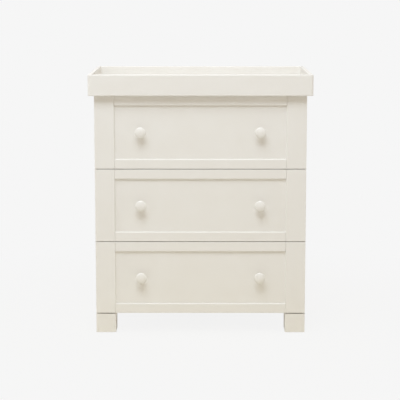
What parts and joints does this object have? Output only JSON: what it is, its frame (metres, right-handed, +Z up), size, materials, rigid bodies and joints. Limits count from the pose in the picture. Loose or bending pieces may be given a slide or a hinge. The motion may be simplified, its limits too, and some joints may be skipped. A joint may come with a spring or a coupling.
{
  "type": "changing dresser",
  "caption": "Painted chest of drawers with framed drawer fronts on roller runners, block feet and a shallow changing tray on its top.",
  "frame": {"origin": "on the floor, under the middle of the changing tray's outline", "axes": "+Z up, the drawers face and open towards -Y, +X to the right for someone who stands in front and looks along +Y"},
  "size_m": [0.85, 0.53, 1],
  "materials": {
    "ivory_paint": "satin ivory paint on smooth board",
    "box_board": "pale foil on board",
    "hardboard": "pale lacquer on thin fibreboard",
    "runner_steel": "white epoxy powder coat",
    "roller_nylon": "natural nylon",
    "zinc_screw": "bright zinc plate",
    "glide_plastic": "grey-brown polyethylene"
  },
  "bodies": {
    "dresser": {"back_panel": "hardboard", "bottom_panel": "ivory_paint", "cabinet_runners": "runner_steel", "cross_rails": "ivory_paint", "foot_front_left": "ivory_paint", "foot_front_right": "ivory_paint", "foot_glides": "glide_plastic", "foot_rear_left": "ivory_paint", "foot_rear_right": "ivory_paint", "side_panel_left": "ivory_paint", "side_panel_right": "ivory_paint", "top_panel": "ivory_paint", "tray_back": "ivory_paint", "tray_base": "ivory_paint", "tray_front": "ivory_paint", "tray_left": "ivory_paint", "tray_right": "ivory_paint", "wood_screws": "zinc_screw"},
    "bottom_drawer": {"bottom_drawer_back": "box_board", "bottom_drawer_bottom": "hardboard", "bottom_drawer_bottom_rail": "ivory_paint", "bottom_drawer_knob_screws": "zinc_screw", "bottom_drawer_knobs": "ivory_paint", "bottom_drawer_left_side": "box_board", "bottom_drawer_left_stile": "ivory_paint", "bottom_drawer_panel": "ivory_paint", "bottom_drawer_right_side": "box_board", "bottom_drawer_right_stile": "ivory_paint", "bottom_drawer_runners": "runner_steel", "bottom_drawer_top_rail": "ivory_paint"},
    "bottom_drawer_cabinet_rollers": {"bottom_drawer_cabinet_rollers": "roller_nylon"},
    "bottom_drawer_rear_rollers": {"bottom_drawer_rear_rollers": "roller_nylon"},
    "middle_drawer": {"middle_drawer_back": "box_board", "middle_drawer_bottom": "hardboard", "middle_drawer_bottom_rail": "ivory_paint", "middle_drawer_knob_screws": "zinc_screw", "middle_drawer_knobs": "ivory_paint", "middle_drawer_left_side": "box_board", "middle_drawer_left_stile": "ivory_paint", "middle_drawer_panel": "ivory_paint", "middle_drawer_right_side": "box_board", "middle_drawer_right_stile": "ivory_paint", "middle_drawer_runners": "runner_steel", "middle_drawer_top_rail": "ivory_paint"},
    "middle_drawer_cabinet_rollers": {"middle_drawer_cabinet_rollers": "roller_nylon"},
    "middle_drawer_rear_rollers": {"middle_drawer_rear_rollers": "roller_nylon"},
    "top_drawer": {"top_drawer_back": "box_board", "top_drawer_bottom": "hardboard", "top_drawer_bottom_rail": "ivory_paint", "top_drawer_knob_screws": "zinc_screw", "top_drawer_knobs": "ivory_paint", "top_drawer_left_side": "box_board", "top_drawer_left_stile": "ivory_paint", "top_drawer_panel": "ivory_paint", "top_drawer_right_side": "box_board", "top_drawer_right_stile": "ivory_paint", "top_drawer_runners": "runner_steel", "top_drawer_top_rail": "ivory_paint"},
    "top_drawer_cabinet_rollers": {"top_drawer_cabinet_rollers": "roller_nylon"},
    "top_drawer_rear_rollers": {"top_drawer_rear_rollers": "roller_nylon"}
  },
  "joints": [
    {"name": "bottom_drawer_slide", "type": "slide", "parent": "dresser", "child": "bottom_drawer", "axis": [0, -1, 0], "range_m": [0, 0.3]},
    {"name": "middle_drawer_slide", "type": "slide", "parent": "dresser", "child": "middle_drawer", "axis": [0, -1, 0], "range_m": [0, 0.3]},
    {"name": "top_drawer_slide", "type": "slide", "parent": "dresser", "child": "top_drawer", "axis": [0, -1, 0], "range_m": [0, 0.3]},
    {"name": "bottom_drawer_cabinet_rollers_spin", "type": "hinge", "parent": "dresser", "child": "bottom_drawer_cabinet_rollers", "pos_m": [0, -0.204, 0.1079], "axis": [1, 0, 0], "range_deg": [0, 1720]},
    {"name": "bottom_drawer_rear_rollers_spin", "type": "hinge", "parent": "bottom_drawer", "child": "bottom_drawer_rear_rollers", "pos_m": [0, 0.165, 0.1069], "axis": [1, 0, 0], "range_deg": [0, 1440]},
    {"name": "middle_drawer_cabinet_rollers_spin", "type": "hinge", "parent": "dresser", "child": "middle_drawer_cabinet_rollers", "pos_m": [0, -0.204, 0.3889], "axis": [1, 0, 0], "range_deg": [0, 1720]},
    {"name": "middle_drawer_rear_rollers_spin", "type": "hinge", "parent": "middle_drawer", "child": "middle_drawer_rear_rollers", "pos_m": [0, 0.165, 0.3879], "axis": [1, 0, 0], "range_deg": [0, 1440]},
    {"name": "top_drawer_cabinet_rollers_spin", "type": "hinge", "parent": "dresser", "child": "top_drawer_cabinet_rollers", "pos_m": [0, -0.204, 0.6699], "axis": [1, 0, 0], "range_deg": [0, 1720]},
    {"name": "top_drawer_rear_rollers_spin", "type": "hinge", "parent": "top_drawer", "child": "top_drawer_rear_rollers", "pos_m": [0, 0.165, 0.6689], "axis": [1, 0, 0], "range_deg": [0, 1440]}
  ],
  "couplings": [
    {"joint": "bottom_drawer_cabinet_rollers_spin", "follows": "bottom_drawer_slide", "rad_per_m": 100},
    {"joint": "bottom_drawer_rear_rollers_spin", "follows": "bottom_drawer_slide", "rad_per_m": 83.333},
    {"joint": "middle_drawer_cabinet_rollers_spin", "follows": "middle_drawer_slide", "rad_per_m": 100},
    {"joint": "middle_drawer_rear_rollers_spin", "follows": "middle_drawer_slide", "rad_per_m": 83.333},
    {"joint": "top_drawer_cabinet_rollers_spin", "follows": "top_drawer_slide", "rad_per_m": 100},
    {"joint": "top_drawer_rear_rollers_spin", "follows": "top_drawer_slide", "rad_per_m": 83.333}
  ]
}
